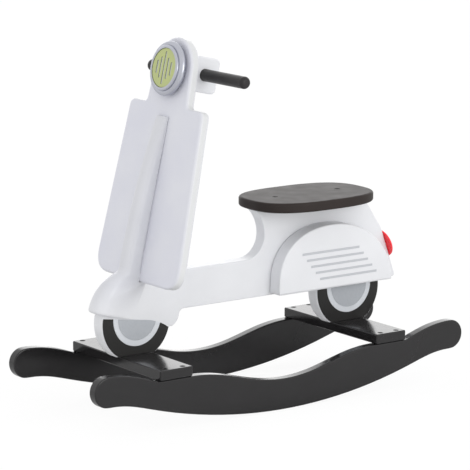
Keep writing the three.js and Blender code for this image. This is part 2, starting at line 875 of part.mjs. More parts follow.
function fenderSection({ crest, crease, crestHalf, creaseHalf, holdShare }) {
  const noseSteps = 6;
  const flankSteps = 5;
  const depth = crest.distanceTo(crease);
  const nose = Math.min(noseShare * depth, crestHalf);
  const half = [];
  for (let i = 0; i <= noseSteps; i += 1) {
    const angle = (Math.PI / 2) * (i / noseSteps);
    half.push([
      nose * (1 - Math.max(Math.cos(angle), 0) ** (2 / noseSquareness)),
      crestHalf * Math.sin(angle) ** (2 / noseSquareness),
    ]);
  }
  for (let i = 1; i <= flankSteps; i += 1) {
    const share = i / flankSteps;
    const narrowing = THREE.MathUtils.smoothstep(share, holdShare, 1);
    half.push([
      nose + (depth - nose) * share,
      THREE.MathUtils.lerp(crestHalf, creaseHalf, narrowing),
    ]);
  }
  const inward = crease.clone().sub(crest).normalize();
  const place = ([along, y]) =>
    new THREE.Vector3(crest.x + inward.x * along, y, crest.y + inward.y * along);
  const near = half.slice(1).map(([along, y]) => place([along, -y])).reverse();
  return [...near, ...half.map(place)];
}

// A closed body through sections that have the same number of points
function lofted(sections) {
  const count = sections[0].length;
  const places = sections.flat();
  const index = [];
  for (let i = 0; i + 1 < sections.length; i += 1) {
    for (let j = 0; j < count; j += 1) {
      const a = i * count + j;
      const b = i * count + ((j + 1) % count);
      index.push(a, b, a + count, b, b + count, a + count);
    }
  }
  [0, sections.length - 1].forEach((i) => {
    const middle = places.length;
    const ring = sections[i];
    const sum = ring.reduce((total, p) => total.add(p), new THREE.Vector3());
    places.push(sum.divideScalar(count));
    for (let j = 0; j < count; j += 1) {
      const a = i * count + j;
      const b = i * count + ((j + 1) % count);
      index.push(...(i ? [a, b, middle] : [b, a, middle]));
    }
  });
  const geometry = new THREE.BufferGeometry().setFromPoints(places);
  geometry.setIndex(index);
  return geometry.toNonIndexed();
}

const fenderBody = lofted(fenderStations().map(fenderSection));
const shieldSpace = block(shieldThick + overrun, 2 * apronHalf, shoulderHeight)
  .translate((shieldThick + overrun) / 2 - fitGap, 0, apronBottom - fitGap + shoulderHeight / 2)
  .applyMatrix4(leanFrame);
const boardSpace = board(grown(boardOutline(), fitGap), boardThick + 2 * fitGap);
add("front_fender", cut(fenderBody, [boardSpace, shieldSpace]), white);

// Tail lamp: a shallow dome on a spigot in the tail edge
const lampProfile = [
  [0, -spigotLength],
  [spigotRadius, -spigotLength],
  [spigotRadius, fitGap],
  [lampRadius, fitGap],
  [lampRadius, lampLip],
  ...quarter(0, lampLip, lampRadius, lampDepth - lampLip, 2, 7).map((p) => [p.x, p.y]).slice(1, -1),
  [0, lampDepth],
];
const lamp = add("tail_lamp", turned(lampProfile, 32), { color: 0xd8353b, roughness: 0.3 });
lamp.position.copy(lampAt);
lamp.rotation.y = tailNormal;

// Seat
function seatOutline() {
  const right = quarter(0, 0, seatLength / 2, seatWidth / 2, seatSquareness, 16);
  const half = [...right, ...mirrored(right).slice(1)];
  const other = half.map((p) => point(-p.x, -p.y)).slice(1, -1);
  return [...half, ...other];
}

const seatBody = board(seatOutline(), seatThick, seatEdgeRound, 2)
  .rotateX(Math.PI / 2)
  .translate(seatCentre, 0, seatHeight - seatThick / 2);
add("seat", cut(seatBody, screwHoles(/^seat_screw/)), black);

// Screws
for (const { name, length, at, turn } of screws) {
  const mesh = add(name, screw(length), steel);
  mesh.position.copy(at);
  mesh.rotation.y = turn;
}

export default scooter;
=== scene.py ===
"""Looks of a child's rocking scooter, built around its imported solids.

Metres, +Z up, the front of the scooter towards -X and the rider's left towards -Y.

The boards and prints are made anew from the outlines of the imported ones, with smoother curves
and rounder edges. The turned pieces, the screws and the front fender are shaped from the sizes
below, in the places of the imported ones. The two dowels stay as they are packed.
"""

import math

import bmesh
import bpy
from mathutils import Matrix, Vector


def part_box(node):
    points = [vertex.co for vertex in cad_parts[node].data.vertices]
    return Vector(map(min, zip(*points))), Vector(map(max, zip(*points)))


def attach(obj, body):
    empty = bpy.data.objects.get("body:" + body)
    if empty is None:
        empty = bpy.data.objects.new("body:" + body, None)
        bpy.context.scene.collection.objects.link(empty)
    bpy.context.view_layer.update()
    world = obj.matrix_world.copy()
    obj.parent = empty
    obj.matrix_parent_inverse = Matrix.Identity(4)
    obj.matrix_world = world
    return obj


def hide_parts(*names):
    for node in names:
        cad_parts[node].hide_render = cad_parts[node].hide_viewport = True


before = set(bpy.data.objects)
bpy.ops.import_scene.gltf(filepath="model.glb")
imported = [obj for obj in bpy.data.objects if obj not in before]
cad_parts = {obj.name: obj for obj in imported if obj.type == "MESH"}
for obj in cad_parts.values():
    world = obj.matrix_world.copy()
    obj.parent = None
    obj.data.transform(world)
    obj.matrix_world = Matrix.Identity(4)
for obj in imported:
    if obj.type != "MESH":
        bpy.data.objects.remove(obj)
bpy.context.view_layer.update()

# Names of pieces that are handled alike
ENDS = ("front", "rear")
SIDES = ("left", "right")
DOWELS = ("cowl_dowel_front", "cowl_dowel_rear")
SCREWS = sorted(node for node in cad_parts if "screw" in node)

# The gap between pieces that fit into each other, and how far a cutter runs out of a piece
FIT_GAP = 0.0003
OVERRUN = 0.002

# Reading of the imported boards: places that count as one, faces that count as none, the
# roundings that the boards have there, and how far a wall's normal may tilt
WELD = 0.00002
SLIVER = 1e-12
PACKED_ROUND = 0.0016
PACKED_SEAT_ROUND = 0.004
PACKED_SHIELD_ROUND = 0.005
WALL_TILT = 0.2

# Smoothing of their outlines: sides that stay straight, because they are long or much longer
# than the sides beside them, turns that stay corners or are left out, and the finer steps
LONG_SIDE = 0.03
STRAIGHT_RATIO = 2.2
CORNER = math.radians(33)
FAINT_TURN = math.radians(0.2)
TURN_STEP = math.radians(2.5)

# Edges that stay sharp in the shading
SHARP = math.radians(35)

# Steps of the round shapes
ROUND_STEPS = 6
TURNED_STEPS = 96
BEZEL_STEPS = 128
BEZEL_ROLL_STEPS = 36
LAMP_STEPS = 24
BAR_END_STEPS = 12
SCREW_STEPS = 32
SCREW_EDGE_STEPS = 3
NOSE_STEPS = 14
FLANK_STEPS = 24

# Finished roundings of the edges
ROCKER_ROUND = 0.0026
CROSS_ROUND = 0.0022
CROSS_CORNER = 0.003
BODY_ROUND = 0.0018
COWL_ROUND = 0.003
SHIELD_ROUND = 0.005
BLOCK_ROUND = 0.0035
SEAT_ROUND = 0.0045
FILM_ROUND = 0.00015

# The plane of the leg shield: X runs through the board to the rear, Z up the slope
SHIELD_FOOT = -0.282
SHIELD_LEAN = math.radians(12.87)
SHIELD_THICK = 0.018
HEAD_UP = 0.613
APRON_BOTTOM = 0.241
APRON_HALF = 0.1285

# Headlight: radii about its axis, heights out of the front face of the shield
BEZEL_RADIUS = 0.048
BEZEL_HEIGHT = 0.0193
BEZEL_FOOT = 0.039
BEZEL_ROLL = 0.006
BEZEL_ROLL_HEIGHT = 0.0096
BEZEL_RIM = 0.040
BEZEL_SOFT = 0.0025
BEZEL_LIP = 0.0006
LENS_RADIUS = 0.0343
LENS_FRONT = 0.0181
LENS_THICK = 0.009
LENS_SOFT = 0.0009
SLOT_PITCH = 0.0102
SLOT_WIDTH = 0.0044
SLOT_DEPTH = 0.0014
SLOT_LENGTH_SHARES = (0.34, 0.54, 0.84, 0.54, 0.34)

# Handlebar, tail lamp and screws
BAR_RADIUS = 0.0108
BAR_LENGTH = 0.290
BAR_SETBACK = 0.055
BAR_END_ROUND = 0.007
TAIL_LEAN = math.radians(19.7)
LAMP_RADIUS = 0.027
LAMP_DEPTH = 0.009
LAMP_LIP = 0.002
SPIGOT_RADIUS = 0.005
SPIGOT_LENGTH = 0.018
SCREW_HEAD_RADIUS = 0.0048
SCREW_HEAD_HEIGHT = 0.0028
SCREW_RADIUS = 0.0021
SCREW_POINT = 0.005
SCREW_EDGE = 0.0002
RECESS_HALF = 0.0026
RECESS_WIDTH = 0.0011
RECESS_DEPTH = 0.0016
RECESS_FLOOR_SHARE = 0.55
LENGTH_DIGITS = 4  # to a tenth of a millimetre, for telling which screws are equally long

# Nose ridge and front fender
FRONT_RIM = -0.2305
RIM_UP = 0.1711
RIM_RADIUS = 0.0497
RIDGE_TOP = 0.531
RIDGE_HALF = 0.016
RIDGE_FOOT_HALF = 0.0144
RIDGE_TOP_HEIGHT = 0.0075
RIDGE_FOOT_HEIGHT = 0.031
RIDGE_SWELL = 2.4
RIDGE_END_ROUND = 0.002
RIDGE_SEAM = 0.0001
FENDER_HALF = 0.022
FENDER_TOP_RADIUS = 0.087
FENDER_RADIUS = 0.089
FENDER_SPREAD_SHARE = 0.6
FENDER_TIP = 0.006
FENDER_TIP_SOFT = 0.0025
# Heights over which the painted shade of the fender fades out towards its white foot
FENDER_SHADE_FADE = (0.172, 0.236)
NOSE_SQUARENESS = 2.4
NOSE_SHARE = 0.8
FLANK_HALF = 0.0135
FLANK_SETBACK = 0.017
FLANK_HOLD_SHARE = 0.75
FENDER_START = math.radians(112)
FENDER_END = math.radians(169)
SKIRT_FRONT_SHARE = (-1.75, 0.195)
SKIRT_KNEE_SHARE = (0.394, -0.114)
CREASE_FOOT_SHARE = 0.72

# Finishes: how far the wear reaches from an edge
EDGE_REACH = 0.002
METAL_EDGE_REACH = 0.0008
LENS_EDGE_REACH = 0.0016
SCREW_EDGE_REACH = 0.0003
EDGE_SAMPLES = 6

# Finishes: reflection off the surface, and how far roughness varies
INK_GLOSS = 0.38
SCREW_GLOSS = 0.12
INK_UNEVENNESS = 0.06

# Finishes: depths of the reliefs
FINE_PEEL_SHARE = 0.12
INK_PEEL = 0.00005
INK_GRAIN = 0.00001
TURNING_MARKS = 0.000004
LENS_PEBBLES = 0.00006
SLOT_PEBBLES = 0.00002
SCREW_GRAIN = 0.00001
WOOD_GRAIN = 0.00003

# Camera, as the photograph was taken
CAMERA_SIDE = math.radians(-35.68)
CAMERA_RISE = math.radians(11.12)
CAMERA_DISTANCE = 5.0438
CAMERA_TARGET = Vector((-0.0121, 0, 0.2904))
CAMERA_LENS = 217.66
SENSOR = 36

# Studio
FLOOR_HALF = 30
WORLD_LIGHT = 0.93
FLOOR_GLOW = 1.03
FLOOR_GLOW_SHARE = 0.9
FLOOR_PALE = (0.86, 0.86, 0.86, 1)
PURE_WHITE = (1, 1, 1, 1)
LIGHT_AIM = (0, 0, 0.3)
SIDE_PANEL_PLACE = (0.6, -3.5, 1.2)
SIDE_PANEL_SIZE = (1.6, 1.6)
SIDE_PANEL_POWER = 29
REAR_PANEL_PLACE = (2.3, 3.2, 1.2)
REAR_PANEL_SIZE = (4.0, 2.5)
REAR_PANEL_POWER = 36

# Places and turns
UNMOVED = Matrix.Identity(4)
LEAN = Matrix.Translation((SHIELD_FOOT, 0, 0)) @ Matrix.Rotation(SHIELD_LEAN, 4, "Y")
UPRIGHT = Matrix.Rotation(math.pi / 2, 4, "X")
FORWARD = Matrix.Rotation(-math.pi / 2, 4, "Y")
ACROSS = Matrix(((0, 0, 1, 0), (1, 0, 0, 0), (0, 1, 0, 0), (0, 0, 0, 1)))
HEAD = LEAN @ Matrix.Translation((0, 0, HEAD_UP)) @ FORWARD


def srgb(red, green, blue):
    """A colour as it is read off a screen, 0 to 255, in the linear values that shaders take."""

    def linear(value):
        share = value / 255
        return share / 12.92 if share <= 0.04045 else ((share + 0.055) / 1.055) ** 2.4

    return (*map(linear, (red, green, blue)), 1.0)


def ease(share):
    """A share between 0 and 1 that sets off and arrives without a kink."""
    share = min(max(share, 0), 1)
    return share * share * (3 - 2 * share)


# Outlines


def rim_of(node, plane, packed_round):
    """The outline of a packed board in its own plane, and the levels of its two faces."""
    bm = bmesh.new()
    bm.from_mesh(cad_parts[node].data)
    bm.transform(plane.inverted())
    bmesh.ops.remove_doubles(bm, verts=bm.verts, dist=WELD)
    bm.normal_update()
    levels = [v.co.z for v in bm.verts]
    low, high = min(levels), max(levels)

    def on_rim(edge):
        walls = [f for f in edge.link_faces if abs(f.normal.z) < WALL_TILT]
        walls = [f for f in walls if f.calc_area() > SLIVER]
        level = all(abs(v.co.z - high + packed_round) < WELD for v in edge.verts)
        return level and len(walls) == 1

    beside = {}
    for edge in filter(on_rim, bm.edges):
        first, second = edge.verts
        beside.setdefault(first, []).append(second)
        beside.setdefault(second, []).append(first)
    loops = []
    while beside:
        loop, at = [], next(iter(beside))
        while at in beside:
            loop.append(at.co.xy.copy())
            at = next((v for v in beside.pop(at) if v in beside), None)
        loops.append(loop)
    bm.free()
    outline = max(loops, key=perimeter)
    return (outline if area(outline) > 0 else outline[::-1]), low, high


def sides_of(points):
    return [after - p for p, after in zip(points, points[1:] + points[:1])]


def perimeter(points):
    return sum(side.length for side in sides_of(points))


def area(points):
    return sum(p.cross(q) for p, q in zip(points, points[1:] + points[:1])) / 2


def rectangle(left, low, right, high):
    return [(left, low), (right, low), (right, high), (left, high)]


def without_faint_turns(points):
    sides = sides_of(points)
    return [p for i, p in enumerate(points) if sides[i - 1].angle(sides[i]) > FAINT_TURN]


def hermite(start, leave, end, arrive, share):
    """A place on the curve from start to end that leaves and arrives along those directions."""
    square, cube = share**2, share**3
    return (
        start * (2 * cube - 3 * square + 1)
        + leave * (cube - 2 * square + share)
        + end * (3 * square - 2 * cube)
        + arrive * (cube - square)
    )


def refined(points):
    """The outline with its curved stretches in finer steps; corners and long sides stay."""
    points = without_faint_turns(points)
    count = len(points)
    sides = sides_of(points)
    lengths = [side.length for side in sides]

    def straight(i):
        nearby = max(lengths[i - 1], lengths[(i + 1) % count])
        return lengths[i] > LONG_SIDE or lengths[i] > STRAIGHT_RATIO * nearby

    def heading(i, arriving):
        before, after = sides[i - 1].normalized(), sides[i].normalized()
        ends = straight((i - 1) % count), straight(i)
        if before.angle(after) > CORNER or all(ends):
            return before if arriving else after
        if any(ends):
            return before if ends[0] else after
        return (before * lengths[i] + after * lengths[i - 1]).normalized()

    result = []
    for i, side in enumerate(sides):
        following = (i + 1) % count
        leave, arrive = heading(i, False), heading(following, True)
        steps = max(1, math.ceil((side.angle(leave) + side.angle(arrive)) / TURN_STEP))
        reach = lengths[i]
        for k in range(steps):
            result.append(
                hermite(points[i], leave * reach, points[following], arrive * reach, k / steps)
            )
    return result


def inset(points, distance):
    """The outline moved inwards by that distance, or outwards where it is negative."""
    result = []
    for p, before, after in zip(points, points[-1:] + points[:-1], points[1:] + points[:1]):
        normals = [Vector((-d.y, d.x)).normalized() for d in (p - before, after - p)]
        reach = distance / (1 + normals[0].dot(normals[1]))
        result.append(p + (normals[0] + normals[1]) * reach)
    return result


def filleted(corners, steps=ROUND_STEPS):
    """A line through corners given as x, y and the radius that rounds them."""
    result = []
    for i, (x, y, radius) in enumerate(corners):
        at = Vector((x, y))
        if not radius:
            result.append(at)
            continue
        back = (Vector(corners[i - 1][:2]) - at).normalized()
        ahead = (Vector(corners[(i + 1) % len(corners)][:2]) - at).normalized()
        half = back.angle(ahead) / 2
        start = at + back * radius / math.tan(half)
        centre = at + (back + ahead).normalized() * radius / math.sin(half)
        turn = math.copysign(math.pi - 2 * half, ahead.cross(back))
        for k in range(steps + 1):
            result.append(centre + Matrix.Rotation(turn * k / steps, 2) @ (start - centre))
    return result


# Meshes


def mesh_of(name, places, faces):
    mesh = bpy.data.meshes.new(name)
    mesh.from_pydata([tuple(p) for p in places], [], faces)
    mesh.validate()
    return mesh


def ringed(name, rings):
    """A closed mesh through rings that have the same number of places, lowest ring first."""
    count = len(rings[0])
    places = [p for ring in rings for p in ring]
    faces = [tuple(reversed(range(count)))]
    for i in range(len(rings) - 1):
        for j in range(count):
            a, b = i * count + j, i * count + (j + 1) % count
            faces.append((a, b, b + count, a + count))
    last = (len(rings) - 1) * count
    faces.append(tuple(range(last, last + count)))
    return mesh_of(name, places, faces)


def slab(name, outline, low, high, rounding=0):
    """A board of that outline between two levels, with rounded edges."""
    steps = ROUND_STEPS if rounding else 0
    turns = [math.pi / 2 * k / max(steps, 1) for k in range(steps + 1)]
    upper = [(rounding * (1 - math.cos(t)), high - rounding * (1 - math.sin(t))) for t in turns]
    lower = [(inward, low + high - level) for inward, level in reversed(upper)]
    rings = [[(*p, level) for p in inset(outline, inward)] for inward, level in lower + upper]
    return ringed(name, rings)


def turned(name, profile, steps=TURNED_STEPS):
    """A body turned about Z; its profile of radii and heights starts and ends on the axis."""
    places = [(0, 0, profile[0][1])]
    for radius, height in profile[1:-1]:
        for k in range(steps):
            angle = 2 * math.pi * k / steps
            places.append((radius * math.cos(angle), radius * math.sin(angle), height))
    places.append((0, 0, profile[-1][1]))
    rings = len(profile) - 2
    faces = []
    for k in range(steps):
        after = (k + 1) % steps
        faces.append((0, 1 + after, 1 + k))
        for ring in range(rings - 1):
            a, b = 1 + ring * steps + k, 1 + ring * steps + after
            faces.append((a, b, b + steps, a + steps))
        top = 1 + (rings - 1) * steps
        faces.append((top + k, top + after, len(places) - 1))
    return mesh_of(name, places, faces)


def put(name, mesh, place, finish=None):
    made = bpy.data.objects.new(name, mesh)
    made.matrix_world = place
    bpy.context.scene.collection.objects.link(made)
    if finish:
        mesh.materials.append(finish)
    return made


def carve(piece, cutters):
    """Takes the cutters out of the piece, and keeps what is left as its mesh."""
    for cutter in cutters:
        step = piece.modifiers.new("cut", "BOOLEAN")
        step.solver = "EXACT"
        step.object = cutter
    left = piece.evaluated_get(bpy.context.evaluated_depsgraph_get())
    whole = piece.data
    piece.data = bpy.data.meshes.new_from_object(left)
    piece.modifiers.clear()
    bpy.data.meshes.remove(whole)
    for cutter in cutters:
        bpy.data.objects.remove(cutter)


def settle(piece, nodes):
    """Shades the piece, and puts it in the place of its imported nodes."""
    piece.data.shade_smooth()
    piece.data.set_sharp_from_angle(angle=SHARP)
    normals = piece.modifiers.new("normals", "WEIGHTED_NORMAL")
    normals.keep_sharp = True
    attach(piece, "root")
    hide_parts(*nodes)


# Finishes


def add_node(tree, kind, inputs=None, **settings):
    """A shader node with its settings, its inputs set to values or linked to sockets."""
    node = tree.nodes.new(kind)
    for key, value in settings.items():
        setattr(node, key, value)
    for key, value in (inputs or {}).items():
        socket = node.inputs[key]
        if isinstance(value, bpy.types.NodeSocket):
            tree.links.new(value, socket)
        else:
            socket.default_value = value
    return node


def new_finish(name):
    finish = bpy.data.materials.new(name)
    finish.use_nodes = True
    finish.node_tree.nodes.clear()
    return finish, finish.node_tree


def with_shader(finish, inputs):
    body = add_node(finish.node_tree, "ShaderNodeBsdfPrincipled", inputs)
    add_node(finish.node_tree, "ShaderNodeOutputMaterial", {"Surface": body.outputs[0]})
    return finish


def place_on_piece(tree):
    return add_node(tree, "ShaderNodeTexCoord").outputs["Object"]


def noise(tree, where, scale, detail, stretch=(1, 1, 1)):
    stretched = add_node(tree, "ShaderNodeMapping", {"Vector": where, "Scale": stretch})
    inputs = {"Vector": stretched.outputs[0], "Scale": scale, "Detail": detail}
    return add_node(tree, "ShaderNodeTexNoise", inputs).outputs["Fac"]


def spread(tree, value, low=0.0, high=1.0, from_low=0.3, from_high=0.7):
    """The value mapped to low and high; a noise mostly stays between 0.3 and 0.7."""
    inputs = {
        "Value": value,
        "From Min": from_low,
        "From Max": from_high,
        "To Min": low,
        "To Max": high,
    }
    return add_node(tree, "ShaderNodeMapRange", inputs).outputs[0]


def maths(tree, operation, first, second):
    return add_node(tree, "ShaderNodeMath", {0: first, 1: second}, operation=operation).outputs[0]


def blend_colours(tree, share, first, second):
    """The first colour where the share is 0, the second where it is 1."""
    inputs = {0: share, 6: first, 7: second}
    return add_node(tree, "ShaderNodeMix", inputs, data_type="RGBA").outputs[2]


def clouded(tree, where, scale, colour, shade):
    """A colour with faint clouds of its shade."""
    return blend_colours(tree, spread(tree, noise(tree, where, scale, detail=3)), colour, shade)


def edge_mask(tree, where, radius):
    """Rises from 0 on flat faces to 1 on edges, broken up so that it isn't even."""
    soft = add_node(tree, "ShaderNodeBevel", {"Radius": radius}, samples=EDGE_SAMPLES).outputs[0]
    plain = add_node(tree, "ShaderNodeNewGeometry").outputs["Normal"]
    alike = add_node(tree, "ShaderNodeVectorMath", {0: soft, 1: plain}, operation="DOT_PRODUCT")
    edges = spread(tree, alike.outputs["Value"], from_low=0.995, from_high=0.9)
    patches = noise(tree, where, scale=60, detail=4)
    return maths(tree, "MULTIPLY", edges, spread(tree, patches, from_low=0.42, from_high=0.62))


def rubbed(tree, where, colour, worn, reach, wear):
    """The colour, worn near the edges."""
    share = maths(tree, "MULTIPLY", edge_mask(tree, where, reach), wear)
    return blend_colours(tree, share, colour, worn)


def bumped(tree, *waves):
    """A normal from pairs of height and depth of the relief, the last one finest."""
    normal = None
    for height, depth in waves:
        inputs = {"Height": height, "Distance": depth, "Strength": 1.0}
        if normal:
            inputs["Normal"] = normal
        normal = add_node(tree, "ShaderNodeBump", inputs).outputs[0]
    return normal


def on_faces(tree):
    """1 on the two faces of a board, down to 0 on its edges, where the shield's painted shade lies.
    """
    normal = add_node(tree, "ShaderNodeTexCoord").outputs["Normal"]
    through = add_node(tree, "ShaderNodeSeparateXYZ", {"Vector": normal}).outputs["Z"]
    return maths(tree, "ABSOLUTE", through, 0)


def painted_shade_above_skirt(tree):
    """Where the fender's painted shade lies: 0 at its foot, where the paint stays white, rising to
    1 where the ridge starts.
    """
    split = add_node(tree, "ShaderNodeSeparateXYZ", {"Vector": place_on_piece(tree)})
    low, high = FENDER_SHADE_FADE
    return spread(tree, split.outputs["Z"], from_low=low, from_high=high)


def lacquer(name, colour, shade, worn, roughness, peel, wear, gloss=0.5, painted_shade=None):
    """Sprayed paint: faint clouds in its colour, orange peel, and edges rubbed a little.

    With painted_shade, a mask and a second colour, the paint has that colour where the mask is 0;
    this paints light and shade into the colour.
    """
    finish, tree = new_finish(name)
    where = place_on_piece(tree)
    paint = clouded(tree, where, 11, colour, shade)
    if painted_shade:
        mask, elsewhere = painted_shade
        paint = blend_colours(tree, mask(tree), elsewhere, paint)
    coarse = noise(tree, where, scale=90, detail=1)
    fine = noise(tree, where, scale=260, detail=1)
    inputs = {
        "Base Color": rubbed(tree, where, paint, worn, EDGE_REACH, wear),
        "Roughness": spread(tree, noise(tree, where, scale=38, detail=2), *roughness),
        "Normal": bumped(tree, (coarse, peel), (fine, peel * FINE_PEEL_SHARE)),
        "Specular IOR Level": gloss,
    }
    return with_shader(finish, inputs)


def white_lacquer():
    return lacquer(
        "white_lacquer",
        colour=srgb(234, 235, 238),
        shade=srgb(229, 230, 233),
        worn=srgb(214, 213, 210),
        roughness=(0.28, 0.31),
        peel=0.00004,
        wear=0.3,
        gloss=0.36,
    )


def fender_lacquer_painted_shade():
    # Painted shade: the fender and its ridge are greyer than the other white boards, fading to
    # white at the foot of the fender
    return lacquer(
        "fender_lacquer_painted_shade",
        colour=srgb(219, 220, 225),
        shade=srgb(214, 215, 221),
        worn=srgb(214, 213, 210),
        roughness=(0.28, 0.31),
        peel=0.00004,
        wear=0.3,
        gloss=0.36,
        painted_shade=(painted_shade_above_skirt, srgb(233, 234, 237)),
    )


def shield_lacquer_painted_light():
    # Painted light: the faces are a cool lilac white for the cooler light on the front of the
    # shield, and the edges a darker grey that paints shade on them
    return lacquer(
        "shield_lacquer_painted_light",
        colour=srgb(226, 227, 234),
        shade=srgb(220, 221, 231),
        worn=srgb(212, 212, 214),
        roughness=(0.28, 0.31),
        peel=0.00004,
        wear=0.3,
        painted_shade=(on_faces, srgb(218, 219, 220)),
    )


def black_lacquer():
    return lacquer(
        "black_lacquer",
        colour=srgb(34, 33, 34),
        shade=srgb(31, 30, 31),
        worn=srgb(66, 64, 63),
        roughness=(0.13, 0.19),
        peel=0.00003,
        wear=0.3,
        gloss=0.44,
    )


def seat_lacquer():
    return lacquer(
        "seat_lacquer",
        colour=srgb(56, 50, 48),
        shade=srgb(51, 46, 44),
        worn=srgb(80, 74, 71),
        roughness=(0.42, 0.48),
        peel=0.00005,
        wear=0.35,
        gloss=0.1,
    )


def bar_lacquer():
    return lacquer(
        "bar_lacquer",
        colour=srgb(38, 36, 36),
        shade=srgb(32, 30, 30),
        worn=srgb(76, 72, 69),
        roughness=(0.36, 0.46),
        peel=0.00006,
        wear=0.3,
        gloss=0.35,
    )


def lamp_lacquer():
    return lacquer(
        "lamp_lacquer",
        colour=srgb(255, 50, 62),
        shade=srgb(249, 44, 56),
        worn=srgb(242, 84, 86),
        roughness=(0.22, 0.3),
        peel=0.00003,
        wear=0.15,
        gloss=0.4,
    )


def printed_ink(name, colour, shade, roughness):
    """Screen ink: a thin even film with a fine mottle where it lies on the paint's orange peel."""
    finish, tree = new_finish(name)
    where = place_on_piece(tree)
    mottle = spread(tree, noise(tree, where, scale=260, detail=4))
    broad = spread(tree, noise(tree, where, scale=22, detail=2), high=0.6)
    dull = noise(tree, where, scale=55, detail=3)
    coarse = noise(tree, where, scale=120, detail=1)
    fine = noise(tree, where, scale=1500, detail=2)
    inputs = {
        "Base Color": blend_colours(tree, maths(tree, "MAXIMUM", mottle, broad), colour, shade),
        "Roughness": spread(tree, dull, roughness - INK_UNEVENNESS, roughness + INK_UNEVENNESS),
        "Normal": bumped(tree, (coarse, INK_PEEL), (fine, INK_GRAIN)),
        "Specular IOR Level": INK_GLOSS,
    }
    return with_shader(finish, inputs)


def stripe_ink():
    return printed_ink("stripe_ink", srgb(197, 199, 204), srgb(193, 195, 200), roughness=0.4)


def tyre_ink():
    return printed_ink("tyre_ink", srgb(31, 30, 29), srgb(27, 26, 25), roughness=0.42)


def rim_ink():
    return printed_ink("rim_ink", srgb(222, 225, 230), srgb(217, 221, 226), roughness=0.38)


def hub_ink():
    return printed_ink("hub_ink", srgb(184, 188, 193), srgb(178, 182, 188), roughness=0.38)


def bezel_metal():
    """Silvered metal with a satin finish and turning marks round its axis."""
    finish, tree = new_finish("bezel_metal")
    where = place_on_piece(tree)
    split = add_node(tree, "ShaderNodeSeparateXYZ", {"Vector": where}).outputs
    across = add_node(tree, "ShaderNodeCombineXYZ", {"X": split["X"], "Y": split["Y"]})
    reach = add_node(
        tree, "ShaderNodeVectorMath", {0: across.outputs[0]}, operation="LENGTH"
    ).outputs["Value"]
    rings = add_node(tree, "ShaderNodeCombineXYZ", {"X": reach, "Y": split["Z"]})
    marks = noise(tree, rings.outputs[0], scale=1400, detail=3)
    metal = clouded(tree, where, 40, srgb(192, 194, 203), srgb(185, 187, 196))
    inputs = {
        "Base Color": rubbed(tree, where, metal, srgb(214, 216, 222), METAL_EDGE_REACH, wear=0.4),
        "Metallic": 1.0,
        "Roughness": spread(tree, marks, low=0.29, high=0.37),
        "Normal": bumped(tree, (marks, TURNING_MARKS)),
    }
    return with_shader(finish, inputs)


def lens_plastic():
    """Moulded green plastic, a little cloudy and softly pebbled."""
    finish, tree = new_finish("lens_plastic")
    where = place_on_piece(tree)
    body = clouded(tree, where, 65, srgb(190, 199, 128), srgb(184, 193, 132))
    dull = noise(tree, where, scale=180, detail=3)
    pebbles = noise(tree, where, scale=420, detail=2)
    inputs = {
        "Base Color": rubbed(tree, where, body, srgb(196, 201, 176), LENS_EDGE_REACH, wear=0.7),
        "Roughness": spread(tree, dull, low=0.32, high=0.44),
        "Normal": bumped(tree, (pebbles, LENS_PEBBLES)),
    }
    return with_shader(finish, inputs)


def slot_plastic(name, colour, shade):
    """The floor or the walls of the slots in the lens, dull grey-green; the walls are a darker
    copy, which is painted shade.
    """
    finish, tree = new_finish(name)
    where = place_on_piece(tree)
    pebbles = noise(tree, where, scale=900, detail=2)
    inputs = {
        "Base Color": clouded(tree, where, 300, colour, shade),
        "Roughness": 0.6,
        "Normal": bumped(tree, (pebbles, SLOT_PEBBLES)),
    }
    return with_shader(finish, inputs)


def slot_floor_plastic():
    return slot_plastic("slot_floor", srgb(212, 215, 210), srgb(204, 207, 202))


def slot_wall_painted_shade():
    # Painted shade: a darker copy of the slot floor for the shaded walls of the slots
    return slot_plastic("slot_wall", srgb(150, 156, 130), srgb(138, 144, 120))


def screw_metal():
    """Blackened steel, dull, with paler edges round the recess."""
    finish, tree = new_finish("screw_metal")
    where = place_on_piece(tree)
    body = clouded(tree, where, 900, srgb(26, 26, 27), srgb(18, 18, 19))
    dull = noise(tree, where, scale=1500, detail=2)
    grain = noise(tree, where, scale=2500, detail=2)
    inputs = {
        "Base Color": rubbed(tree, where, body, srgb(70, 70, 72), SCREW_EDGE_REACH, wear=0.3),
        "Roughness": spread(tree, dull, low=0.5, high=0.65),
        "Normal": bumped(tree, (grain, SCREW_GRAIN)),
        "Specular IOR Level": SCREW_GLOSS,
    }
    return with_shader(finish, inputs)


def bare_wood():
    """Beech with fine grain along the dowel."""
    finish, tree = new_finish("bare_wood")
    where = place_on_piece(tree)
    grain = spread(tree, noise(tree, where, scale=900, detail=4, stretch=(1, 0.04, 1)))
    flecks = noise(tree, where, scale=2600, detail=2, stretch=(1, 0.15, 1))
    flecks = spread(tree, flecks, high=0.5, from_low=0.55, from_high=0.7)
    wood = blend_colours(tree, grain, srgb(222, 192, 148), srgb(204, 168, 120))
    inputs = {
        "Base Color": blend_colours(tree, flecks, wood, srgb(168, 124, 82)),
        "Roughness": 0.62,
        "Normal": bumped(tree, (grain, WOOD_GRAIN)),
    }
    return with_shader(finish, inputs)


# Screws


def screw_place(node):
    """Where the middle of a screw's head lies, with Z out of the head, and the screw's length."""
    places = [v.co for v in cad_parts[node].data.vertices]
    middle = sum(places, Vector()) / len(places)
    point = max(places, key=lambda p: (p - middle).length)
    axis = (middle - point).normalized()
    length = max((p - point).dot(axis) for p in places)
    turn = axis.to_track_quat("Z", "Y").to_matrix().to_4x4()
    return Matrix.Translation(point + axis * length) @ turn, length


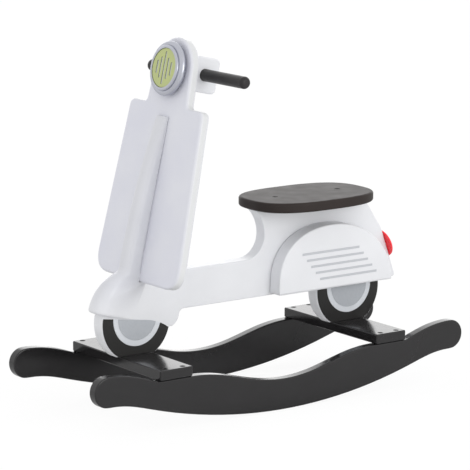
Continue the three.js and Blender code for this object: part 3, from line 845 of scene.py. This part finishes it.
def screw_mesh(length):
    head, shank = SCREW_HEAD_RADIUS, SCREW_RADIUS
    profile = filleted(
        [
            (0, -length, 0),
            (shank, SCREW_POINT - length, SCREW_EDGE),
            (shank, -SCREW_HEAD_HEIGHT, SCREW_EDGE),
            (head, -2 * SCREW_EDGE, SCREW_EDGE / 2),
            (head, 0, SCREW_EDGE / 2),
            (0, 0, 0),
        ],
        SCREW_EDGE_STEPS,
    )
    return turned("screw", profile, SCREW_STEPS)


def recess():
    """A cross recess whose arms narrow towards the bottom."""
    arms = []
    half, wide, deep = RECESS_HALF, RECESS_WIDTH / 2, RECESS_DEPTH
    for turn in (0, math.pi / 2):
        rings = []
        for share, level in ((RECESS_FLOOR_SHARE, -deep), (1, 0), (1, deep)):
            reach = half * share
            rings.append([(*p, level) for p in rectangle(-reach, -wide, reach, wide)])
        mesh = ringed("arm", rings)
        mesh.transform(Matrix.Rotation(turn, 4, "Z"))
        arms.append(mesh)
    return arms


def funnel(length):
    """The room of a screw, for cutting the pieces that it goes through."""
    head, shank = SCREW_HEAD_RADIUS + FIT_GAP, SCREW_RADIUS + FIT_GAP
    profile = [
        (0, -length - FIT_GAP),
        (shank, SCREW_POINT - length - FIT_GAP),
        (shank, -SCREW_HEAD_HEIGHT - FIT_GAP),
        (head, -FIT_GAP),
        (head, OVERRUN),
        (0, OVERRUN),
    ]
    return turned("funnel", profile, SCREW_STEPS)


def funnels(*names):
    """Cutters for every screw whose name starts with one of these."""
    cutters = []
    for node in SCREWS:
        if node.startswith(names):
            place, length = screw_place(node)
            cutters.append(put("cutter", funnel(length), place))
    return cutters


def make_screws(finish):
    """The screws; those of one length have copies of one mesh."""
    meshes = {}
    for node in SCREWS:
        place, length = screw_place(node)
        key = round(length, LENGTH_DIGITS)
        if key not in meshes:
            first = put("screw", screw_mesh(length), UNMOVED, finish)
            carve(first, [put("cutter", arm, UNMOVED) for arm in recess()])
            meshes[key] = first.data
            bpy.data.objects.remove(first)
        made = put(f"finished_{node}", meshes[key].copy(), place)
        settle(made, [node])


# Boards


def rebuilt(node, plane, finish, rounding, packed_round=PACKED_ROUND):
    """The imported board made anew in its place, with smoother curves and rounder edges."""
    outline, low, high = rim_of(node, plane, packed_round)
    mesh = slab(node, refined(outline), low, high, rounding)
    return put(f"finished_{node}", mesh, plane, finish)


def cylinder_cutter(centre, radius, half, place=UNMOVED):
    """A round hole along Y, about a centre given in the frame of that place."""
    profile = [(0, -half), (radius, -half), (radius, half), (0, half)]
    return put("cutter", turned("hole", profile), place @ Matrix.Translation(centre) @ UPRIGHT)


def dowel_holes():
    cutters = []
    for node in DOWELS:
        low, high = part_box(node)
        radius = (high.x - low.x) / 2 + FIT_GAP
        cutters.append(cylinder_cutter((low + high) / 2, radius, high.y + FIT_GAP))
    return cutters


def make_rockers(finish):
    for side in SIDES:
        node = f"rocker_{side}"
        made = rebuilt(node, UPRIGHT, finish, ROCKER_ROUND)
        carve(made, funnels(*(f"{end}_board_screw_{side}" for end in ENDS)))
        settle(made, [node])


def make_cross_boards(finish):
    for end in ENDS:
        node = f"{end}_cross_board"
        low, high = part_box(node)
        corners = rectangle(low.x, low.y, high.x, high.y)
        outline = filleted([(*corner, CROSS_CORNER) for corner in corners])
        mesh = slab(node, outline, low.z, high.z, CROSS_ROUND)
        made = put(f"finished_{node}", mesh, UNMOVED, finish)
        carve(made, funnels(f"{end}_board_screw", f"{end}_foot_screw"))
        settle(made, [node])


def make_centre_board(finish):
    made = rebuilt("centre_board", UPRIGHT, finish, BODY_ROUND)
    radius, depth = SPIGOT_RADIUS + FIT_GAP, -SPIGOT_LENGTH - FIT_GAP
    spigot = [(0, depth), (radius, depth), (radius, OVERRUN), (0, OVERRUN)]
    cutters = funnels("front_foot", "rear_foot", "seat_screw", "column_screw")
    cutters += dowel_holes()
    cutters.append(put("cutter", turned("hole", spigot), lamp_place()))
    carve(made, cutters)
    settle(made, ["centre_board"])


def make_cowls(finish, stripe_finish):
    for side in SIDES:
        node = f"rear_cowl_{side}"
        made = rebuilt(node, UPRIGHT, finish, COWL_ROUND)
        carve(made, dowel_holes())
        settle(made, [node])
    for node in sorted(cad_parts):
        if node.startswith("cowl_stripe"):
            settle(rebuilt(node, UPRIGHT, stripe_finish, FILM_ROUND, 0), [node])


def make_wheel_prints(finishes):
    """The tyres, rims and hubs that are printed on both sides of the centre board."""
    for part, finish in finishes.items():
        for end in ENDS:
            for side in SIDES:
                node = f"{end}_{part}_{side}"
                made = rebuilt(node, UPRIGHT, finish, FILM_ROUND, 0)
                settle(made, [node])


def make_shield(finish):
    made = rebuilt("leg_shield", LEAN @ ACROSS, finish, SHIELD_ROUND, PACKED_SHIELD_ROUND)
    carve(made, funnels("column_screw", "head_screw"))
    settle(made, ["leg_shield"])


def make_block(finish):
    made = rebuilt("steering_block", LEAN @ UPRIGHT, finish, BLOCK_ROUND)
    hole = cylinder_cutter((BAR_SETBACK, 0, HEAD_UP), BAR_RADIUS + FIT_GAP, BAR_LENGTH / 2, LEAN)
    carve(made, [hole, *funnels("head_screw")])
    settle(made, ["steering_block"])


def make_seat(finish):
    made = rebuilt("seat", UNMOVED, finish, SEAT_ROUND, PACKED_SEAT_ROUND)
    carve(made, funnels("seat_screw"))
    settle(made, ["seat"])


def make_dowels(finish):
    """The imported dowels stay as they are, and only take the look of wood."""
    for node in DOWELS:
        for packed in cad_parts[node].material_slots:
            packed.material = finish


# Turned pieces


def make_handlebar(finish):
    half, radius = BAR_LENGTH / 2, BAR_RADIUS
    corners = [
        (0, -half, 0),
        (radius, -half, BAR_END_ROUND),
        (radius, half, BAR_END_ROUND),
        (0, half, 0),
    ]
    mesh = turned("bar", filleted(corners, BAR_END_STEPS))
    place = LEAN @ Matrix.Translation((BAR_SETBACK, 0, HEAD_UP)) @ UPRIGHT
    settle(put("finished_handlebar", mesh, place, finish), ["handlebar"])


def make_bezel(finish):
    inner = LENS_RADIUS + FIT_GAP
    seat = LENS_FRONT - LENS_THICK - FIT_GAP
    middle = BEZEL_RADIUS - BEZEL_ROLL
    start = -math.acos((BEZEL_FOOT - middle) / BEZEL_ROLL)
    end = math.acos((BEZEL_RIM - middle) / BEZEL_ROLL)
    roll = []
    for k in range(BEZEL_ROLL_STEPS + 1):
        turn = start + (end - start) * k / BEZEL_ROLL_STEPS
        height = BEZEL_ROLL_HEIGHT + BEZEL_ROLL * math.sin(turn)
        roll.append((middle + BEZEL_ROLL * math.cos(turn), height, 0))
    corners = [
        (0, FIT_GAP, 0),
        (BEZEL_FOOT, FIT_GAP, 0),
        *roll,
        (BEZEL_RIM, BEZEL_HEIGHT, BEZEL_SOFT),
        (inner, BEZEL_HEIGHT, BEZEL_LIP),
        (inner, seat, 0),
        (0, seat, 0),
    ]
    mesh = turned("bezel", filleted(corners), BEZEL_STEPS)
    made = put("finished_headlight_bezel", mesh, HEAD, finish)
    settle(made, ["headlight_bezel"])


def slot_cutter(offset, length):
    """A slot with round ends, upright on the lens."""
    radius = SLOT_WIDTH / 2
    corners = rectangle(-length / 2, -radius, length / 2, radius)
    rounded = filleted([(*corner, radius) for corner in corners])
    outline = [p + Vector((0, offset)) for p in rounded]
    mesh = slab("slot", outline, LENS_FRONT - SLOT_DEPTH, LENS_FRONT + OVERRUN)
    return put("cutter", mesh, HEAD)


def make_lens(finish, floor_finish, wall_shade_finish):
    back = LENS_FRONT - LENS_THICK
    corners = [
        (0, back, 0),
        (LENS_RADIUS, back, 0),
        (LENS_RADIUS, LENS_FRONT, LENS_SOFT),
        (0, LENS_FRONT, 0),
    ]
    made = put("finished_headlight_lens", turned("lens", filleted(corners)), HEAD, finish)
    middle = (len(SLOT_LENGTH_SHARES) - 1) / 2
    cutters = [
        slot_cutter((i - middle) * SLOT_PITCH, 2 * LENS_RADIUS * share)
        for i, share in enumerate(SLOT_LENGTH_SHARES)
    ]
    carve(made, cutters)
    made.data.materials.append(floor_finish)
    made.data.materials.append(wall_shade_finish)
    # The walls of the slots take the darker finish, the painted shade inside the slots
    inside = LENS_RADIUS - SLOT_WIDTH / 2
    for face in made.data.polygons:
        depth = LENS_FRONT - face.center.z
        if WELD < depth < 2 * SLOT_DEPTH and face.center.xy.length < inside:
            face.material_index = 1 if face.normal.z > WALL_TILT else 2
    settle(made, ["headlight_lens"])


def lamp_place():
    """The middle of the lamp's foot on the tail, with Z out of the lamp."""
    low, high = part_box("tail_lamp")
    out = Vector((math.cos(TAIL_LEAN), 0, math.sin(TAIL_LEAN)))
    up = Vector((-out.z, 0, out.x))
    places = [v.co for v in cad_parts["tail_lamp"].data.vertices]
    reach = max(p.dot(out) for p in places) - LAMP_DEPTH
    rises = [p.dot(up) for p in places]
    middle = (min(rises) + max(rises)) / 2
    centre = out * reach + up * middle
    turn = Matrix.Rotation(math.pi / 2 - TAIL_LEAN, 4, "Y")
    return Matrix.Translation((centre.x, (low.y + high.y) / 2, centre.z)) @ turn


def make_lamp(finish):
    dome = [
        (LAMP_RADIUS * math.cos(turn), LAMP_LIP + (LAMP_DEPTH - LAMP_LIP) * math.sin(turn))
        for turn in (math.pi / 2 * k / LAMP_STEPS for k in range(LAMP_STEPS))
    ]
    profile = [
        (0, -SPIGOT_LENGTH),
        (SPIGOT_RADIUS, -SPIGOT_LENGTH),
        (SPIGOT_RADIUS, FIT_GAP),
        (LAMP_RADIUS - FIT_GAP, FIT_GAP),
        (LAMP_RADIUS, 2 * FIT_GAP),
        *dome,
        (0, LAMP_DEPTH),
    ]
    made = put("finished_tail_lamp", turned("lamp", profile), lamp_place(), finish)
    settle(made, ["tail_lamp"])


# Front fender with the nose ridge


def on_lean(through, up):
    """A place on the middle plane, in the frame of the leaning shield."""
    return LEAN @ Vector((through, 0, up))


def round_rim(angle, radius):
    """A place at that angle and distance from the middle of the front wheel."""
    return Vector((FRONT_RIM + radius * math.cos(angle), 0, RIM_UP + radius * math.sin(angle)))


def by_rim(shares):
    """A place given in radii of the rim from the middle of the front wheel."""
    across, up = shares
    return Vector((FRONT_RIM + across * RIM_RADIUS, 0, RIM_UP + up * RIM_RADIUS))


def ridge_stations(steps=28, end_steps=5):
    """Down the ridge: crest, crease, half widths at both, and how much of the flank stays wide."""
    foot = APRON_BOTTOM + FENDER_HALF
    places = []
    for k in range(end_steps):
        turn = math.pi / 2 * k / end_steps
        inward = RIDGE_END_ROUND * (1 - math.sin(turn))
        places.append((RIDGE_TOP - RIDGE_END_ROUND * (1 - math.cos(turn)), inward))
    start = RIDGE_TOP - RIDGE_END_ROUND
    places += [(start + (foot - start) * k / steps, 0) for k in range(steps + 1)]
    for up, inward in places:
        share = (RIDGE_TOP - up) / (RIDGE_TOP - foot)
        swell = (1 - share) ** RIDGE_SWELL
        height = RIDGE_FOOT_HEIGHT + (RIDGE_TOP_HEIGHT - RIDGE_FOOT_HEIGHT) * swell
        crest = on_lean(inward - FIT_GAP - height, up)
        halves = RIDGE_HALF - inward, RIDGE_FOOT_HALF - inward
        yield crest, on_lean(-RIDGE_SEAM, up), *halves, FLANK_HOLD_SHARE


def round_stations(steps=36, tip_steps=8):
    """The same values on round the wheel, down to the tip of the fender."""
    crease_top = on_lean(FLANK_SETBACK, APRON_BOTTOM)
    crease_foot = by_rim(SKIRT_FRONT_SHARE).lerp(by_rim(SKIRT_KNEE_SHARE), CREASE_FOOT_SHARE)
    tip_turn = FENDER_TIP / FENDER_RADIUS
    sweep = FENDER_END - FENDER_START
    growth = FENDER_RADIUS - FENDER_TOP_RADIUS
    spots = [
        (FENDER_START + (sweep - tip_turn) * k / steps, FENDER_TOP_RADIUS + growth * k / steps, 0)
        for k in range(steps + 1)
    ]
    for k in range(1, tip_steps + 1):
        turn = math.pi / 2 * k / tip_steps
        angle = FENDER_END - tip_turn * (1 - math.sin(turn))
        drop = 1 - math.cos(turn)
        spots.append((angle, FENDER_RADIUS - FENDER_TIP * drop, FENDER_TIP_SOFT * drop))
    for angle, radius, inward in spots:
        share = (angle - FENDER_START) / sweep
        widening = ease(share / FENDER_SPREAD_SHARE)
        half = RIDGE_HALF + (FENDER_HALF - RIDGE_HALF) * widening - inward
        crease = crease_top.lerp(crease_foot, share)
        yield round_rim(angle, radius), crease, half, FLANK_HALF, FLANK_HOLD_SHARE * (1 - widening)


def bridged(before, after, steps=10):
    """Stations that carry one run of stations on into the next without a kink."""
    (start, crease, *widths), (end, next_crease, *next_widths) = before[-1], after[0]
    gap = (end - start).length
    leave = (start - before[-2][0]).normalized() * gap
    arrive = (after[1][0] - end).normalized() * gap
    for k in range(1, steps):
        share = k / steps
        crest = hermite(start, leave, end, arrive, share)
        between = [a + (b - a) * ease(share) for a, b in zip(widths, next_widths)]
        yield crest, crease.lerp(next_crease, share), *between


def fender_section(crest, crease, crest_half, crease_half, hold):
    """A ring across the fender: a rounded nose, and flanks that run in to the crease."""
    depth = (crease - crest).length
    nose = min(NOSE_SHARE * depth, crest_half)
    power = 2 / NOSE_SQUARENESS
    half = []
    for k in range(NOSE_STEPS + 1):
        turn = math.pi / 2 * k / NOSE_STEPS
        across = max(math.cos(turn), 0) ** power
        half.append((nose * (1 - across), crest_half * math.sin(turn) ** power))
    for k in range(1, FLANK_STEPS + 1):
        share = k / FLANK_STEPS
        side = crest_half + (crease_half - crest_half) * ease((share - hold) / (1 - hold))
        half.append((nose + (depth - nose) * share, side))
    inward = (crease - crest).normalized()
    near = [crest + inward * along + Vector((0, -y, 0)) for along, y in half[:0:-1]]
    return near + [crest + inward * along + Vector((0, y, 0)) for along, y in half]


def board_room():
    """The centre board grown by the gap, for cutting the fender that sits astride it."""
    outline, low, high = rim_of("centre_board", UPRIGHT, PACKED_ROUND)
    grown = inset(refined(outline), -FIT_GAP)
    return put("cutter", slab("room", grown, low - FIT_GAP, high + FIT_GAP), UPRIGHT)


def shield_room():
    """The space behind the front face of the shield, from its lower edge to far above the ridge."""
    low, high = APRON_BOTTOM - FIT_GAP, RIDGE_TOP + APRON_BOTTOM
    outline = [Vector(p) for p in rectangle(-APRON_HALF, low, APRON_HALF, high)]
    return put("cutter", slab("room", outline, -RIDGE_SEAM, SHIELD_THICK + OVERRUN), LEAN @ ACROSS)


def make_fender(finish):
    ridge, wheel = list(ridge_stations()), list(round_stations())
    stations = ridge + list(bridged(ridge, wheel)) + wheel
    mesh = ringed("fender", [fender_section(*station) for station in stations])
    bm = bmesh.new()
    bm.from_mesh(mesh)
    bmesh.ops.recalc_face_normals(bm, faces=bm.faces)
    bm.to_mesh(mesh)
    bm.free()
    made = put("finished_front_fender", mesh, UNMOVED, finish)
    carve(made, [board_room(), shield_room()])
    settle(made, ["front_fender"])


# Studio


def seen_directly(tree):
    """1 where the eye or a reflection meets the surface, 0 where it only gives light."""
    path = add_node(tree, "ShaderNodeLightPath").outputs
    seen = maths(tree, "MAXIMUM", path["Is Camera Ray"], path["Is Glossy Ray"])
    return maths(tree, "MAXIMUM", seen, path["Is Transmission Ray"])


def make_world():
    """White to the eye and in reflections, a little weaker as light."""
    world = bpy.data.worlds.new("studio")
    world.use_nodes = True
    tree = world.node_tree
    tree.nodes.clear()
    strength = spread(tree, seen_directly(tree), low=WORLD_LIGHT, from_low=0.0, from_high=1.0)
    glow = add_node(tree, "ShaderNodeBackground", {"Color": PURE_WHITE, "Strength": strength})
    add_node(tree, "ShaderNodeOutputWorld", {"Surface": glow.outputs[0]})
    bpy.context.scene.world = world


def make_floor():
    """A matt white floor that glows a little to the eye, so that it runs out into the backdrop."""
    finish, tree = new_finish("studio_floor")
    path = add_node(tree, "ShaderNodeLightPath").outputs
    matt = add_node(tree, "ShaderNodeBsdfDiffuse", {"Color": FLOOR_PALE})
    glow = add_node(tree, "ShaderNodeEmission", {"Color": PURE_WHITE, "Strength": FLOOR_GLOW})
    share = maths(tree, "MULTIPLY", path["Is Camera Ray"], FLOOR_GLOW_SHARE)
    inputs = {0: share, 1: matt.outputs[0], 2: glow.outputs[0]}
    mixed = add_node(tree, "ShaderNodeMixShader", inputs)
    add_node(tree, "ShaderNodeOutputMaterial", {"Surface": mixed.outputs[0]})
    half = FLOOR_HALF
    corners = [(*corner, 0) for corner in rectangle(-half, -half, half, half)]
    mesh = mesh_of("floor", corners, [(0, 1, 2, 3)])
    put("studio_floor", mesh, UNMOVED, finish)


def make_light_panel(name, place, size, power, mirrored_only=False):
    """An even light that the camera can't see; mirrored only, it lights nothing but reflections."""
    light = bpy.data.lights.new(name, "AREA")
    light.shape = "RECTANGLE"
    light.size, light.size_y = size
    light.energy = power
    panel = bpy.data.objects.new(name, light)
    panel.location = place
    panel.rotation_euler = (Vector(LIGHT_AIM) - Vector(place)).to_track_quat("-Z", "Y").to_euler()
    panel.visible_camera = False
    panel.visible_diffuse = not mirrored_only
    bpy.context.scene.collection.objects.link(panel)


def make_lights():
    make_light_panel("side_panel", SIDE_PANEL_PLACE, SIDE_PANEL_SIZE, SIDE_PANEL_POWER)
    make_light_panel(
        "rear_panel", REAR_PANEL_PLACE, REAR_PANEL_SIZE, REAR_PANEL_POWER, mirrored_only=True
    )


def make_camera():
    camera = bpy.data.objects.new("camera", bpy.data.cameras.new("camera"))
    camera.data.lens = CAMERA_LENS
    camera.data.sensor_width = SENSOR
    back = Vector(
        (
            math.sin(CAMERA_SIDE) * math.cos(CAMERA_RISE),
            -math.cos(CAMERA_SIDE) * math.cos(CAMERA_RISE),
            math.sin(CAMERA_RISE),
        )
    )
    camera.location = CAMERA_TARGET + back * CAMERA_DISTANCE
    camera.rotation_euler = (-back).to_track_quat("-Z", "Y").to_euler()
    bpy.context.scene.collection.objects.link(camera)
    bpy.context.scene.camera = camera


white, black = white_lacquer(), black_lacquer()

make_rockers(black)
make_cross_boards(black)
make_centre_board(white)
make_cowls(white, stripe_ink())
make_wheel_prints({"tyre": tyre_ink(), "rim": rim_ink(), "hub": hub_ink()})
make_shield(shield_lacquer_painted_light())
make_block(white)
make_seat(seat_lacquer())
make_handlebar(bar_lacquer())
make_bezel(bezel_metal())
make_lens(lens_plastic(), slot_floor_plastic(), slot_wall_painted_shade())
make_lamp(lamp_lacquer())
make_fender(fender_lacquer_painted_shade())
make_screws(screw_metal())
make_dowels(bare_wood())

make_world()
make_floor()
make_lights()
make_camera()
bpy.context.scene.view_settings.view_transform = "Standard"
